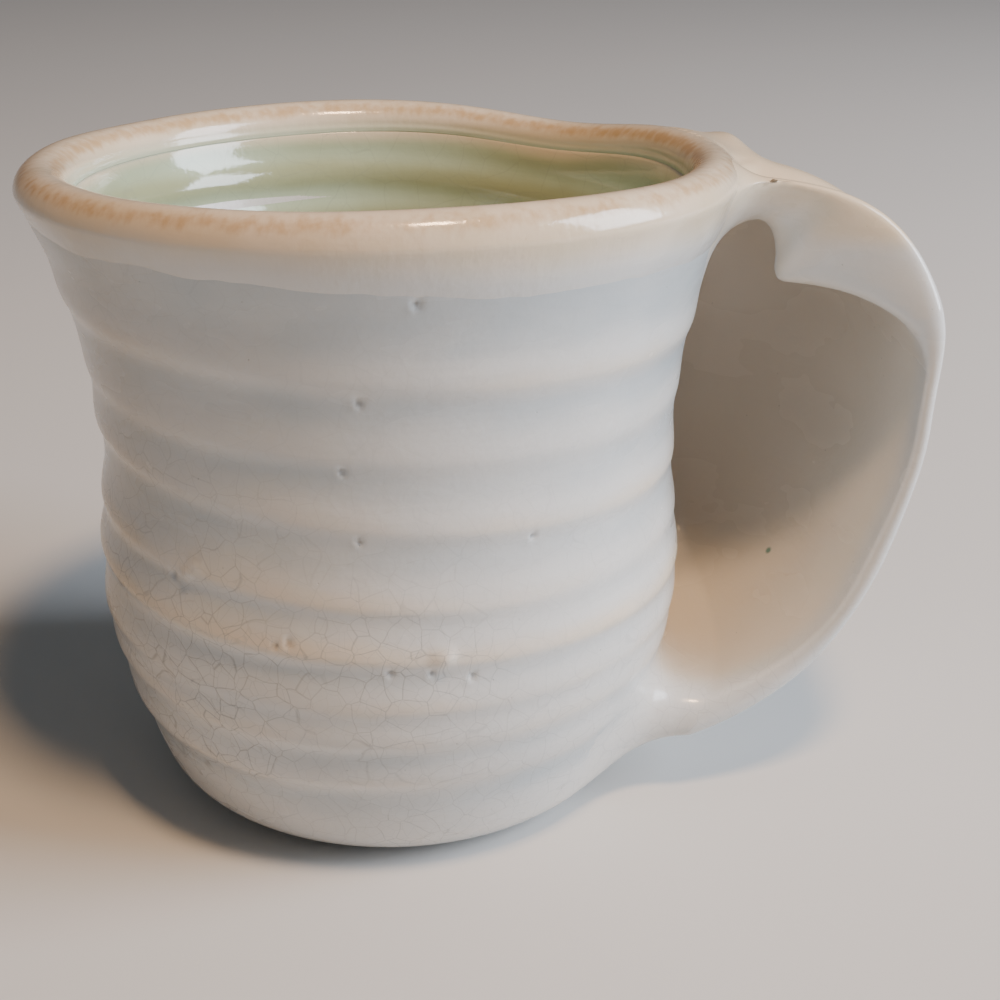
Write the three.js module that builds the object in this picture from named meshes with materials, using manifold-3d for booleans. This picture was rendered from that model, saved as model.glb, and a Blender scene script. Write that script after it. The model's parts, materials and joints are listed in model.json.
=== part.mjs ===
// A wheel-thrown hand-warmer mug: a cup whose handle is a pocket, half a bowl joined to its side.
// Millimetres, +Z up. The origin is the centre of the cup's foot, +X runs towards the pocket, and the
// pocket's mouth faces -Y, where the fingers go in.
import * as THREE from 'three';
import { ParametricGeometry } from 'three/addons/geometries/ParametricGeometry.js';
import { mergeVertices } from 'three/addons/utils/BufferGeometryUtils.js';
import Module from 'manifold-3d';

// ---- Driving dimensions ----

// The cup's outer outline, from the foot up.
const FOOT_RADIUS = 23;
const HEEL_RADIUS = 35.4;
const HEEL_HEIGHT = 7;
const BELLY_RADIUS = 41.1;
const BELLY_HEIGHT = 32;
const WAIST_RADIUS = 39.9;
const WAIST_HEIGHT = 51;
const RIM_RADIUS = 47.5;
const CUP_HEIGHT = 90;
const FLARE_POWER = 1.9; // how late the wall turns outwards above the waist

// The cup's inside.
const WALL = 5;
const FLOOR = 7;
const FLOOR_CORNER = 15; // height over which the floor sweeps up into the wall
const LIP_THICKNESS = 6.3; // the lip is a round bead of this width

// The two coats of glaze that are pieces of their own.
const COAT = 0.6;
const RIM_BAND_OUTSIDE = 8; // how far the rim's coat runs down from the top, outside
const RIM_BAND_INSIDE = 4.5; // and inside, to where the liner begins

// The rim dried a little out of true: it dips towards +Y and stands off the foot's centre.
const RIM_DIP = 2.65; // rise of its front, and fall of its back
const RIM_SHIFT_X = -0.5;
const RIM_SHIFT_Y = 1.7;
const WARP_POWER = 4; // how far up the wall the warp starts

// The pocket: half a bowl whose mouth is a superellipse, rounder below than above.
const POCKET_REACH = 74.6; // from the cup's axis to the outside of the pocket
const POCKET_CENTRE_X = 30;
const POCKET_CENTRE_HEIGHT = 54;
const POCKET_TOP_DROP = 2; // how far its top is below the rim
const POCKET_FOOT_RISE = 7.4; // how far its bottom is above the foot
const POCKET_HIDDEN_WIDTH = 24; // half width of the side that is buried in the cup
const POCKET_DEPTH = 45; // from the mouth to the back of the bowl
const POCKET_WALL = 4;
const UPPER_ROUNDNESS = 3.6; // powers of the superellipse, where 2 is an ellipse
const LOWER_ROUNDNESS = 1.9;
const DEPTH_ROUNDNESS = 3.2;
const MOUTH_TOP_Y = -8; // the mouth's plane, which leans forward towards the foot
const MOUTH_BOTTOM_Y = -17;

// The coils worked into the seam.
const COIL_RADIUS = 3.2;
const REAR_COIL_TOP_DROP = 6.25; // how far below the rim the rear coil ends and the upper one begins
const REAR_COIL_FOOT_RISE = 22; // how far above the foot it meets the lower one

// Clearances.
const GAP = 0.3; // the slip layer between pieces that touch

// Fineness.
const AROUND = 44;
const POCKET_AROUND = 44;
const POCKET_STEPS = 9;
const COIL_SIDES = 10;
const COIL_STEPS = 12;

// ---- Sizes that follow ----

const COAT_DEPTH = GAP + COAT; // how far the clay stands back under a coat
const LIP_ROUND = LIP_THICKNESS / 2;
const LIP_CENTRE_HEIGHT = CUP_HEIGHT - LIP_ROUND;
const LIP_CENTRE_RADIUS = RIM_RADIUS - LIP_ROUND;
const POCKET_TOP = CUP_HEIGHT - POCKET_TOP_DROP;
const POCKET_UPPER = POCKET_TOP - POCKET_CENTRE_HEIGHT;
const POCKET_LOWER = POCKET_CENTRE_HEIGHT - POCKET_FOOT_RISE;
const POCKET_WIDTH = POCKET_REACH - POCKET_CENTRE_X;

const wasm = await Module();
wasm.setup();

// ---- Solids ----

// A manifold solid from a closed geometry, with its shared vertices merged.
function toSolid(geometry) {
  const bare = geometry.index ? geometry.clone() : mergeVertices(geometry);
  bare.deleteAttribute('normal');
  bare.deleteAttribute('uv');
  const merged = mergeVertices(bare, 1e-4);
  const corners = merged.index.array;
  const faces = [];
  for (let i = 0; i < corners.length; i += 3) {
    const [a, b, c] = corners.slice(i, i + 3);
    if (a !== b && b !== c && c !== a) {
      faces.push(a, b, c);
    }
  }
  return new wasm.Manifold(new wasm.Mesh({
    numProp: 3,
    vertProperties: Float32Array.from(merged.attributes.position.array),
    triVerts: Uint32Array.from(faces),
  }));
}

function toGeometry(solid) {
  const mesh = solid.getMesh();
  const geometry = new THREE.BufferGeometry();
  geometry.setAttribute('position', new THREE.BufferAttribute(Float32Array.from(mesh.vertProperties), 3));
  geometry.setIndex(new THREE.BufferAttribute(Uint32Array.from(mesh.triVerts), 1));
  geometry.computeVertexNormals();
  return geometry;
}

// A profile of (radius, height) points turned about the Z axis, bottom first so that it faces outwards.
function turned(profile) {
  return new THREE.LatheGeometry(profile, AROUND).rotateX(Math.PI / 2);
}

// The rim's warp, as a move of every point that grows with height and leaves the foot flat.
function warp(geometry) {
  const points = geometry.attributes.position;
  for (let i = 0; i < points.count; i += 1) {
    const [x, y, z] = [points.getX(i), points.getY(i), points.getZ(i)];
    const share = Math.max(z / LIP_CENTRE_HEIGHT, 0) ** WARP_POWER;
    points.setXYZ(
      i,
      x + RIM_SHIFT_X * share,
      y + RIM_SHIFT_Y * share,
      z - (RIM_DIP * share * y) / LIP_CENTRE_RADIUS,
    );
  }
  return geometry;
}

// The value between low and high where the test turns from true to false.
function bisect(test, low, high) {
  for (let i = 0; i < 40; i += 1) {
    const middle = (low + high) / 2;
    if (test(middle)) {
      low = middle;
    } else {
      high = middle;
    }
  }
  return (low + high) / 2;
}

// ---- The cup's outline ----

// Outer radius above the heel: a quarter sine out to the belly, a cosine in to the waist, then a power
// curve out to the rim.
function outerRadius(height) {
  if (height < BELLY_HEIGHT) {
    const rise = (height - HEEL_HEIGHT) / (BELLY_HEIGHT - HEEL_HEIGHT);
    return HEEL_RADIUS + (BELLY_RADIUS - HEEL_RADIUS) * Math.sin((rise * Math.PI) / 2);
  }
  if (height < WAIST_HEIGHT) {
    const rise = (height - BELLY_HEIGHT) / (WAIST_HEIGHT - BELLY_HEIGHT);
    return BELLY_RADIUS - ((BELLY_RADIUS - WAIST_RADIUS) * (1 - Math.cos(rise * Math.PI))) / 2;
  }
  const rise = (height - WAIST_HEIGHT) / (LIP_CENTRE_HEIGHT - WAIST_HEIGHT);
  return WAIST_RADIUS + (RIM_RADIUS - WAIST_RADIUS) * rise ** FLARE_POWER;
}

function innerRadius(height) {
  const thickening = (LIP_THICKNESS - WALL) * (height / LIP_CENTRE_HEIGHT) ** 6;
  return outerRadius(height) - WALL - thickening;
}

// Evenly spaced wall points from one height to another, at a radius that is a function of height.
function wallPoints(radiusAt, from, to, steps) {
  const points = [];
  for (let i = 0; i <= steps; i += 1) {
    const height = THREE.MathUtils.lerp(from, to, i / steps);
    points.push(new THREE.Vector2(radiusAt(height), height));
  }
  return points;
}

// The round bottom corner, from the flat foot up into the wall, moved outwards by grow.
function heelPoints(grow) {
  const corner = new THREE.CubicBezierCurve(
    new THREE.Vector2(FOOT_RADIUS + grow, -grow),
    new THREE.Vector2((FOOT_RADIUS + 3 * HEEL_RADIUS) / 4 + grow, -grow),
    new THREE.Vector2(HEEL_RADIUS - 1 + grow, HEEL_HEIGHT * 0.55),
    new THREE.Vector2(HEEL_RADIUS + grow, HEEL_HEIGHT),
  );
  return corner.getPoints(6);
}

// The lip's round bead between two angles in degrees, counted from outwards over the top to inwards.
function lipPoints(inset, from, to, steps) {
  const points = [];
  for (let i = 0; i <= steps; i += 1) {
    const angle = THREE.MathUtils.degToRad(THREE.MathUtils.lerp(from, to, i / steps));
    const round = LIP_ROUND - inset;
    points.push(new THREE.Vector2(
      LIP_CENTRE_RADIUS + round * Math.cos(angle),
      LIP_CENTRE_HEIGHT + round * Math.sin(angle),
    ));
  }
  return points;
}

// The sweep from the flat floor up into the wall, moved outwards by grow.
function floorPoints(grow) {
  const top = FLOOR + FLOOR_CORNER;
  const sweep = new THREE.CubicBezierCurve(
    new THREE.Vector2(FOOT_RADIUS - 8, FLOOR - grow),
    new THREE.Vector2(HEEL_RADIUS - WALL - 2, FLOOR - grow),
    new THREE.Vector2(innerRadius(top) - 2 + grow, FLOOR + FLOOR_CORNER * 0.45 - grow),
    new THREE.Vector2(innerRadius(top) + grow, top),
  );
  return sweep.getPoints(6);
}

// ---- The cup and its coats ----

function cupBody() {
  const bandFoot = CUP_HEIGHT - RIM_BAND_OUTSIDE;
  const top = FLOOR + FLOOR_CORNER;
  return turned([
    new THREE.Vector2(0, 0),
    ...heelPoints(0),
    ...wallPoints(outerRadius, HEEL_HEIGHT, bandFoot, 13).slice(1),
    ...wallPoints((height) => outerRadius(height) - COAT_DEPTH, bandFoot, LIP_CENTRE_HEIGHT, 2).slice(0, -1),
    ...lipPoints(COAT_DEPTH, 0, 180, 8),
    ...wallPoints((height) => innerRadius(height) + COAT_DEPTH, LIP_CENTRE_HEIGHT, top, 7).slice(1, -1),
    ...floorPoints(COAT_DEPTH).reverse(),
    new THREE.Vector2(0, FLOOR - COAT_DEPTH),
  ]);
}

// The liner runs from the floor up to where the rim's coat ends.
function linerGlaze() {
  const top = FLOOR + FLOOR_CORNER;
  const edge = CUP_HEIGHT - RIM_BAND_INSIDE - GAP;
  const clayward = wallPoints((height) => innerRadius(height) + COAT, top, edge, 7).slice(1);
  const inward = wallPoints(innerRadius, edge, top, 7).slice(0, -1);
  return turned([
    new THREE.Vector2(0, FLOOR - COAT),
    ...floorPoints(COAT),
    ...clayward,
    ...inward,
    ...floorPoints(0).reverse(),
    new THREE.Vector2(0, FLOOR),
  ]);
}

// The rim's coat, a thin saddle over the lip.
function rimGlaze() {
  const foot = CUP_HEIGHT - RIM_BAND_OUTSIDE + GAP;
  const edge = CUP_HEIGHT - RIM_BAND_INSIDE;
  const under = (height) => outerRadius(height) - COAT;
  const saddle = [
    ...wallPoints(outerRadius, foot, LIP_CENTRE_HEIGHT, 2).slice(0, -1),
    ...lipPoints(0, 0, 180, 8),
    new THREE.Vector2(innerRadius(edge), edge),
    new THREE.Vector2(innerRadius(edge) + COAT, edge),
    ...lipPoints(COAT, 180, 0, 8),
    ...wallPoints(under, LIP_CENTRE_HEIGHT, foot, 2).slice(1),
  ];
  return turned([...saddle, saddle[0].clone()]);
}

// The space that the finished cup fills, hollow and all, grown by the slip layer.
function cupSpace() {
  const above = CUP_HEIGHT + POCKET_WALL;
  return toSolid(turned([
    new THREE.Vector2(0, -GAP),
    ...heelPoints(GAP),
    ...wallPoints((height) => outerRadius(height) + GAP, HEEL_HEIGHT, LIP_CENTRE_HEIGHT, 18).slice(1),
    ...lipPoints(-GAP, 0, 90, 4).slice(1),
    new THREE.Vector2(LIP_CENTRE_RADIUS, above),
    new THREE.Vector2(0, above),
  ]));
}

// ---- The pocket ----

// How far back the mouth's plane stands at a height.
function mouthY(height) {
  const share = (height - POCKET_FOOT_RISE) / (POCKET_TOP - POCKET_FOOT_RISE);
  return THREE.MathUtils.lerp(MOUTH_BOTTOM_Y, MOUTH_TOP_Y, share);
}

// Distance from the pocket's centre to the mouth's outline at an angle, moved inwards by inset.
function mouthRadius(angle, inset) {
  const width = (Math.cos(angle) > 0 ? POCKET_WIDTH : POCKET_HIDDEN_WIDTH) - inset;
  const upper = Math.sin(angle) > 0;
  const tall = (upper ? POCKET_UPPER : POCKET_LOWER) - inset;
  const power = upper ? UPPER_ROUNDNESS : LOWER_ROUNDNESS;
  const across = Math.abs(Math.cos(angle) / width) ** power;
  const up = Math.abs(Math.sin(angle) / tall) ** power;
  return (across + up) ** (-1 / power);
}

// A point of the bowl: its outline at an angle, shrunk by share, at a depth behind the mouth.
function bowlPoint(angle, inset, share, depth, target) {
  const radius = mouthRadius(angle, inset) * share;
  const height = POCKET_CENTRE_HEIGHT + radius * Math.sin(angle);
  return target.set(POCKET_CENTRE_X + radius * Math.cos(angle), mouthY(height) + depth, height);
}

// The bowl's section, pole to mouth, as [inset, share, depth]: a superellipse quarter.
function bowlSection(inset) {
  const section = [];
  for (let i = 0; i <= POCKET_STEPS; i += 1) {
    const angle = (1 - i / POCKET_STEPS) * (Math.PI / 2);
    const share = Math.cos(angle) ** (2 / DEPTH_ROUNDNESS);
    const depth = (POCKET_DEPTH - inset) * Math.sin(angle) ** (2 / DEPTH_ROUNDNESS);
    section.push([inset, i === 0 ? 0 : share, depth]);
  }
  return section;
}

// The round edge of the mouth, from the outer wall to the inner one.
function mouthLip() {
  const steps = 5;
  const section = [];
  for (let i = 1; i < steps; i += 1) {
    const angle = (i / steps) * Math.PI;
    const inset = (POCKET_WALL / 2) * (1 - Math.cos(angle));
    section.push([inset, 1, (-POCKET_WALL / 2) * Math.sin(angle)]);
  }
  return section;
}

// A closed surface that carries a section round the mouth's outline.
function aroundMouth(section) {
  const last = section.length - 1;
  const surface = (u, v, target) => {
    const [inset, share, depth] = section[Math.round(v * last)];
    bowlPoint(u * 2 * Math.PI, inset, share, depth, target);
  };
  return toSolid(new ParametricGeometry(surface, POCKET_AROUND, last));
}

// The space that the bowl fills, hollow and all, grown by the slip layer.
function bowlSpace() {
  const front = -GAP - POCKET_WALL / 2;
  return aroundMouth([...bowlSection(-GAP), [-GAP, 1, front], [-GAP, 0, front]]);
}

// The bowl's hollow, less the slip layer.
function bowlHollow() {
  const inset = POCKET_WALL + GAP;
  return aroundMouth([...bowlSection(inset), [inset, 0, 0]]);
}

function handPocket(cup) {
  const bowl = aroundMouth([...bowlSection(0), ...mouthLip(), ...bowlSection(POCKET_WALL).reverse()]);
  return toGeometry(bowl.subtract(cup));
}

// ---- The seam and its coils ----

// True where a point lies within the bowl, moved inwards by inset.
function insideBowl(point, inset) {
  const across = point.x - POCKET_CENTRE_X;
  const up = point.z - POCKET_CENTRE_HEIGHT;
  const share = Math.hypot(across, up) / mouthRadius(Math.atan2(up, across), inset);
  const depth = Math.abs(point.y - mouthY(point.z)) / (POCKET_DEPTH - inset);
  return share ** DEPTH_ROUNDNESS + depth ** DEPTH_ROUNDNESS < 1;
}

// A point on the cup, a distance away from the middle of the pocket's footprint. Direction 0 runs round
// to the back, and 90 degrees runs up.
function cupPoint(direction, distance) {
  const height = POCKET_CENTRE_HEIGHT + distance * Math.sin(direction);
  const radius = outerRadius(Math.min(height, LIP_CENTRE_HEIGHT));
  const turn = (distance * Math.cos(direction)) / radius;
  return new THREE.Vector3(radius * Math.cos(turn), radius * Math.sin(turn), height);
}

// Where the bowl's wall, moved inwards by inset, meets the cup in a direction.
function seamPoint(direction, inset) {
  const within = (distance) => insideBowl(cupPoint(direction, distance), inset);
  return cupPoint(direction, bisect(within, 0, 2 * POCKET_DEPTH));
}

// The seam's direction at the mouth, above (side 1) or below (side -1).
function seamEnd(side, inset) {
  const behindMouth = (direction) => {
    const point = seamPoint(direction, inset);
    return point.y > mouthY(point.z);
  };
  return side * bisect((turn) => behindMouth(side * turn), 0, Math.PI);
}

// The seam's direction behind the pocket at a height.
function seamDirection(height) {
  return bisect((direction) => seamPoint(direction, 0).z < height, -Math.PI / 2, Math.PI / 2);
}

// A round coil along the seam between two directions.
function coilAlongSeam(from, to, inset) {
  const path = [];
  for (let i = 0; i <= COIL_STEPS; i += 1) {
    path.push(seamPoint(THREE.MathUtils.lerp(from, to, i / COIL_STEPS), inset));
  }
  const ring = new THREE.Shape().absarc(0, 0, COIL_RADIUS, 0, 2 * Math.PI);
  const coil = new THREE.ExtrudeGeometry(ring, {
    steps: COIL_STEPS,
    curveSegments: COIL_SIDES,
    extrudePath: new THREE.CatmullRomCurve3(path),
  });
  return toSolid(coil);
}

// A coil in the corner inside the pocket, under its roof.
function innerCoil(from, to, cup, hollow) {
  return toGeometry(coilAlongSeam(from, to, POCKET_WALL).intersect(hollow).subtract(cup));
}

// A coil in the corner outside the pocket.
function outerCoil(from, to, cup, bowl) {
  return toGeometry(coilAlongSeam(from, to, 0).subtract(bowl).subtract(cup));
}

// ---- The assembly ----

const FINISHES = {
  whiteGlaze: { color: 0xdcdad4, roughness: 0.25, metalness: 0 },
  celadonGlaze: { color: 0xb7cbb2, roughness: 0.18, metalness: 0 },
  creamGlaze: { color: 0xe6d6c0, roughness: 0.22, metalness: 0 },
};

function named(name, geometry, finish) {
  const mesh = new THREE.Mesh(warp(geometry), new THREE.MeshStandardMaterial(FINISHES[finish]));
  mesh.name = name;
  return mesh;
}

const cup = cupSpace();
const bowl = bowlSpace();
const coilTop = seamDirection(CUP_HEIGHT - REAR_COIL_TOP_DROP);
const coilFoot = seamDirection(REAR_COIL_FOOT_RISE);
const splitGap = (2 * GAP) / POCKET_UPPER; // the slip layer between two coils' ends, as an angle

const mug = new THREE.Group();
mug.add(
  named('cup_body', cupBody(), 'whiteGlaze'),
  named('liner_glaze', linerGlaze(), 'celadonGlaze'),
  named('rim_glaze', rimGlaze(), 'creamGlaze'),
  named('hand_pocket', handPocket(cup), 'whiteGlaze'),
  named('upper_join_coil', innerCoil(coilTop, seamEnd(1, POCKET_WALL), cup, bowlHollow()), 'whiteGlaze'),
  named('rear_join_coil', outerCoil(coilFoot, coilTop, cup, bowl), 'whiteGlaze'),
  named('lower_join_coil', outerCoil(seamEnd(-1, 0), coilFoot - splitGap, cup, bowl), 'whiteGlaze'),
);

export default mug;
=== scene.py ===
"""The looks of a wheel-thrown hand-warmer mug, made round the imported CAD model.

Lengths in the property groups are metres. The shape functions work in millimetres, in the cup's own
upright frame, and set_out_of_true() then leans the finished points as the drying rim did.
"""
import json
from math import radians
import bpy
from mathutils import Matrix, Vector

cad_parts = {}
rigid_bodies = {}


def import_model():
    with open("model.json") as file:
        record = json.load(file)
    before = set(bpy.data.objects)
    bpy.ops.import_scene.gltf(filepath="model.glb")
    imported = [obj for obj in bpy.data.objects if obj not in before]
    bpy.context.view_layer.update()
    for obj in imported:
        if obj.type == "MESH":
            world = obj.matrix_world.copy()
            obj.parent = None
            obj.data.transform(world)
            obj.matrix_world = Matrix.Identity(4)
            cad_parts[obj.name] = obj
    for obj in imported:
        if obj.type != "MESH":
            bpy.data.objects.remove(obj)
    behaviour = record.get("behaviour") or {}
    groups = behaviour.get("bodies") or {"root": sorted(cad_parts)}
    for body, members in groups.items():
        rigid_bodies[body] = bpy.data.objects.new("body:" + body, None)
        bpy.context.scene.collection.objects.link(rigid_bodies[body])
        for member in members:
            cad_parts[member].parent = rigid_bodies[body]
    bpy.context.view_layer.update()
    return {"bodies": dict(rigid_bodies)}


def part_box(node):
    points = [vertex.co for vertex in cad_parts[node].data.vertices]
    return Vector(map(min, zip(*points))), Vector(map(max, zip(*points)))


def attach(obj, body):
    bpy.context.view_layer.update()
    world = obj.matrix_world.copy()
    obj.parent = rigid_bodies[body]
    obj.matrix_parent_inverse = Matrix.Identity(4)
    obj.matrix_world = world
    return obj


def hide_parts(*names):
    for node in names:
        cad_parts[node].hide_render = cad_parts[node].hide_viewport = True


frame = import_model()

from types import SimpleNamespace

import bpy
import numpy as np
from mathutils import Matrix, Vector

bl_info = {
    "name": "Hand-warmer mug",
    "version": (1, 0, 0),
    "blender": (4, 5, 0),
    "location": "3D View > Sidebar > Mug",
    "description": "Makes a crackle-glazed stoneware mug with a hand pocket round its CAD model",
    "category": "Add Mesh",
}

RIM_LOW, RIM_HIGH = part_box("rim_glaze")
POCKET_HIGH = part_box("hand_pocket")[1]
BODY = next(iter(frame["bodies"]))

MM = 0.001
TURN = 2 * np.pi


# ---- Properties ----

def length(name, description, default):
    """A length property, in metres."""
    return bpy.props.FloatProperty(
        name=name, description=description, default=default, unit="LENGTH", precision=4
    )


def plain(name, description, default):
    """A property that is a bare number."""
    return bpy.props.FloatProperty(name=name, description=description, default=default)


def turn(name, description, degrees):
    """An angle property."""
    return bpy.props.FloatProperty(
        name=name, description=description, default=radians(degrees), unit="ROTATION", subtype="ANGLE"
    )


def linear(code):
    """An sRGB hex value turned to linear colour."""
    parts = [int(code[i : i + 2], 16) / 255 for i in (0, 2, 4)]
    return [p / 12.92 if p <= 0.04045 else ((p + 0.055) / 1.055) ** 2.4 for p in parts] + [1.0]


def colour(name, description, code):
    """A colour property, with an sRGB hex value to start from."""
    return bpy.props.FloatVectorProperty(
        name=name, description=description, default=linear(code), size=4, subtype="COLOR", min=0, max=1
    )


class CupSizes(bpy.types.PropertyGroup):
    """The thrown cup: its outline, wall, lip and the marks of the fingers."""

    foot_radius: length("Foot radius", "Radius of the flat foot", 23 * MM)
    heel_radius: length("Heel radius", "Outer radius at the top of the round heel", 35.4 * MM)
    heel_height: length("Heel height", "Height of the round heel", 7 * MM)
    belly_radius: length("Belly radius", "Outer radius at the belly", 41.1 * MM)
    belly_height: length("Belly height", "Height of the belly", 32 * MM)
    waist_radius: length("Waist radius", "Outer radius at the waist", 39.9 * MM)
    waist_height: length("Waist height", "Height of the waist", 51 * MM)
    rim_radius: length("Rim radius", "Outer radius of the lip", (RIM_HIGH.x - RIM_LOW.x) / 2)
    height: length("Height", "Height of the lip where it is true", 90 * MM)
    flare_power: plain("Flare", "How late the wall turns out above the waist", 1.9)
    wall: length("Wall", "Thickness of the wall", 5 * MM)
    floor: length("Floor", "Thickness of the floor", 7 * MM)
    floor_corner: length("Floor corner", "Height over which the floor sweeps up", 15 * MM)
    lip: length("Lip", "Width of the round lip", 6.3 * MM)
    rim_shift_x: length("Shift in X", "How far the rim stands off the foot", (RIM_HIGH.x + RIM_LOW.x) / 2)
    rim_shift_y: length("Shift in Y", "How far the rim stands off the foot", (RIM_HIGH.y + RIM_LOW.y) / 2)
    rim_dip: length("Dip", "Rise of the rim's front and fall of its back", 2.65 * MM)
    rim_sag: length("Sag", "How far the rim sags where the pocket's back joins it", 1.8 * MM)
    ring_height: length("Ring height", "How far a throwing ring stands out", 0.9 * MM)


class PocketSizes(bpy.types.PropertyGroup):
    """The hand pocket: half a bowl joined to the cup's side."""

    reach: length("Reach", "From the cup's axis to the outside of the pocket", POCKET_HIGH.x)
    centre_x: length("Centre X", "Where the half bowl's own axis crosses the mouth", 30 * MM)
    centre_height: length("Centre height", "Height of that axis", 54 * MM)
    top_drop: length("Top drop", "How far its top is below the lip", 2 * MM)
    foot_rise: length("Foot rise", "How far its bottom is above the foot", 7.4 * MM)
    hidden_width: length("Hidden width", "Half width of the side buried in the cup's wall", 24 * MM)
    depth: length("Depth", "From the mouth to the back", 45 * MM)
    wall: length("Wall", "Thickness of the wall behind the lip", 4 * MM)
    upper_roundness: plain("Upper roundness", "Superellipse power above the centre", 3.6)
    lower_roundness: plain("Lower roundness", "Superellipse power below the centre", 1.9)
    depth_roundness: plain("Depth roundness", "Superellipse power from mouth to back", 3.2)
    mouth_top_y: length("Mouth top", "Y of the mouth's plane at its top", -8 * MM)
    mouth_bottom_y: length("Mouth bottom", "Y of the mouth's plane at its bottom", -17 * MM)
    hood_lip: length("Hood lip", "Thickness of the lip over the fingers", 13.5 * MM)
    side_lip: length("Side lip", "Thickness of the lip at the side", 2.2 * MM)
    foot_lip: length("Foot lip", "Thickness of the lip under the fingers", 5.5 * MM)
    hood_groove: length("Hood groove", "Depth of the dip behind the hood's ridge", 3.2 * MM)
    hood_scoop: length("Hood scoop", "How far the hood's front face is scooped back", 5.5 * MM)
    back_hump: length("Back hump", "How far the roof rises again towards the back", 3.8 * MM)
    shoulder: length("Shoulder", "How far the upper side bulges out", 1.0 * MM)
    flat: length("Flat", "How far the lower side is pressed in", 1.6 * MM)
    seam: length("Seam", "Reach of the worked seam along cup and pocket", 7 * MM)


class GlazeColours(bpy.types.PropertyGroup):
    """The colours of the glazes and the clay."""

    white: colour("White", "Crackle glaze at its usual thickness", "DCDCD9")
    # Pooled white is partly the glaze's own thick pooling and partly painted shade in the grooves; broken
    # white is partly the glaze thinning over the ridges and partly painted warm light on their tops.
    pooled: colour("Pooled white", "Crackle glaze where it ran thick", "B6C2C8")
    broken: colour("Broken white", "Crackle glaze where it thinned over a ridge", "ECDAC0")
    # The hollow's warm tint is painted warm bounce light in the pocket's shade.
    hollow: colour("Hollow", "Thin glaze inside the pocket", "DDD6CA")
    crackle: colour("Crackle", "Lines of the crackle", "7F8282")
    cream: colour("Cream", "Second dip at the rim", "E6D3B5")
    tan: colour("Tan", "Clay showing through at the lip's edge", "C6A06E")
    celadon: colour("Celadon", "Liner at its usual thickness", "BFD0B4")
    olive: colour("Olive", "Liner where it ran thick", "A8AF8A")
    drop: colour("Drop", "Stray drop of green glaze", "3C8078")
    clay: colour("Clay", "Bare fired stoneware", "B79B7B")
    iron: colour("Iron", "Specks of iron in the bare stoneware", "5A4636")


class StudioSettings(bpy.types.PropertyGroup):
    """The floor, the lights and where the camera stands."""

    camera_y: length("Camera Y", "How far in front of the cup's axis the camera stands", -231 * MM)
    camera_height: length("Camera height", "Height of the camera above the foot", 145.1 * MM)
    heading: turn("Heading", "How far right of straight ahead the camera looks", 3.83)
    pitch: turn("Pitch", "How far down the camera looks", 24.6)
    roll: turn("Roll", "How far the camera is turned about its view", 0.19)
    lens: plain("Lens", "Focal length in millimetres on a 36 mm sensor", 63.36)
    floor_radius: length("Floor radius", "Radius of the pale floor", 4.0)
    floor: colour("Floor", "Colour of the floor", "D9D8D5")
    sky: colour("Sky", "Colour of the even light from all round", "DCE6F0")
    sky_strength: plain("Sky strength", "Strength of the even light", 0.12)
    window: colour("Window", "Colour of the large soft light at the right", "E6F0FF")
    window_power: plain("Window power", "Power of the large soft light, in watts", 13)
    lamp: colour("Lamp", "Colour of the small warm light overhead", "FFD2A4")
    lamp_power: plain("Lamp power", "Power of the small warm light, in watts", 4.6)


def settings_of(group):
    """The group's own properties, without the two that every group has."""
    return [item for item in group.bl_rna.properties if item.identifier not in {"rna_type", "name"}]


def millimetres(group):
    """The group's values under their own names, with lengths in millimetres."""
    values = {}
    for item in settings_of(group):
        value = getattr(group, item.identifier)
        values[item.identifier] = value / MM if getattr(item, "unit", "NONE") == "LENGTH" else value
    return SimpleNamespace(**values)


def cup_sizes(context):
    """The cup's sizes, with the centre of its round lip worked out."""
    cup = millimetres(context.scene.mug_cup)
    cup.bead = cup.lip / 2
    cup.lip_height = cup.height - cup.bead
    cup.lip_radius = cup.rim_radius - cup.bead
    return cup


def pocket_sizes(context, cup):
    """The pocket's sizes, with its half widths worked out."""
    pocket = millimetres(context.scene.mug_pocket)
    pocket.width = pocket.reach - pocket.centre_x
    pocket.top = cup.height - pocket.top_drop
    pocket.upper = pocket.top - pocket.centre_height
    pocket.lower = pocket.centre_height - pocket.foot_rise
    return pocket


# ---- Small formulas ----

def bell(value, centre, width):
    """A Gaussian hump of height 1."""
    return np.exp(-(((value - centre) / width) ** 2))


def ease(value, low, high):
    """0 below low, 1 above high, and a smooth cubic between."""
    share = np.clip((value - low) / (high - low), 0, 1)
    return share * share * (3 - 2 * share)


def mix(low, high, share):
    """The value a share of the way from low to high."""
    return low + (high - low) * share


def turn_gap(angle, centre):
    """The signed angle from centre to angle, the short way round."""
    return (angle - centre + np.pi) % TURN - np.pi


def waves(angle, height, seed):
    """A gentle unevenness, mostly between -1 and 1: five sines, each of a whole number of turns and less
    strong than the one before, with phases from the seed."""
    draw = np.random.default_rng(seed)
    total = 0
    for turns in range(1, 6):
        phase, drift = draw.uniform(0, TURN), draw.uniform(-0.06, 0.06)
        total = total + np.sin(turns * angle + drift * height + phase) / turns
    usual_peak = 1.6
    return total / usual_peak


def bezier(corners, steps):
    """Points of a cubic Bezier curve through four corners."""
    t = np.linspace(0, 1, steps + 1)[:, None]
    a, b, c, d = np.array(corners, float)
    return a * (1 - t) ** 3 + 3 * b * t * (1 - t) ** 2 + 3 * c * t**2 * (1 - t) + d * t**3


def spread(profile, spacing):
    """A (radius, height) profile cut again into even steps along its length."""
    gone = np.concatenate([[0], np.cumsum(np.hypot(*np.diff(profile, axis=0).T))])
    at = np.linspace(0, gone[-1], int(round(gone[-1] / spacing)) + 1)
    return np.stack([np.interp(at, gone, profile[:, 0]), np.interp(at, gone, profile[:, 1])], axis=1)


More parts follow.
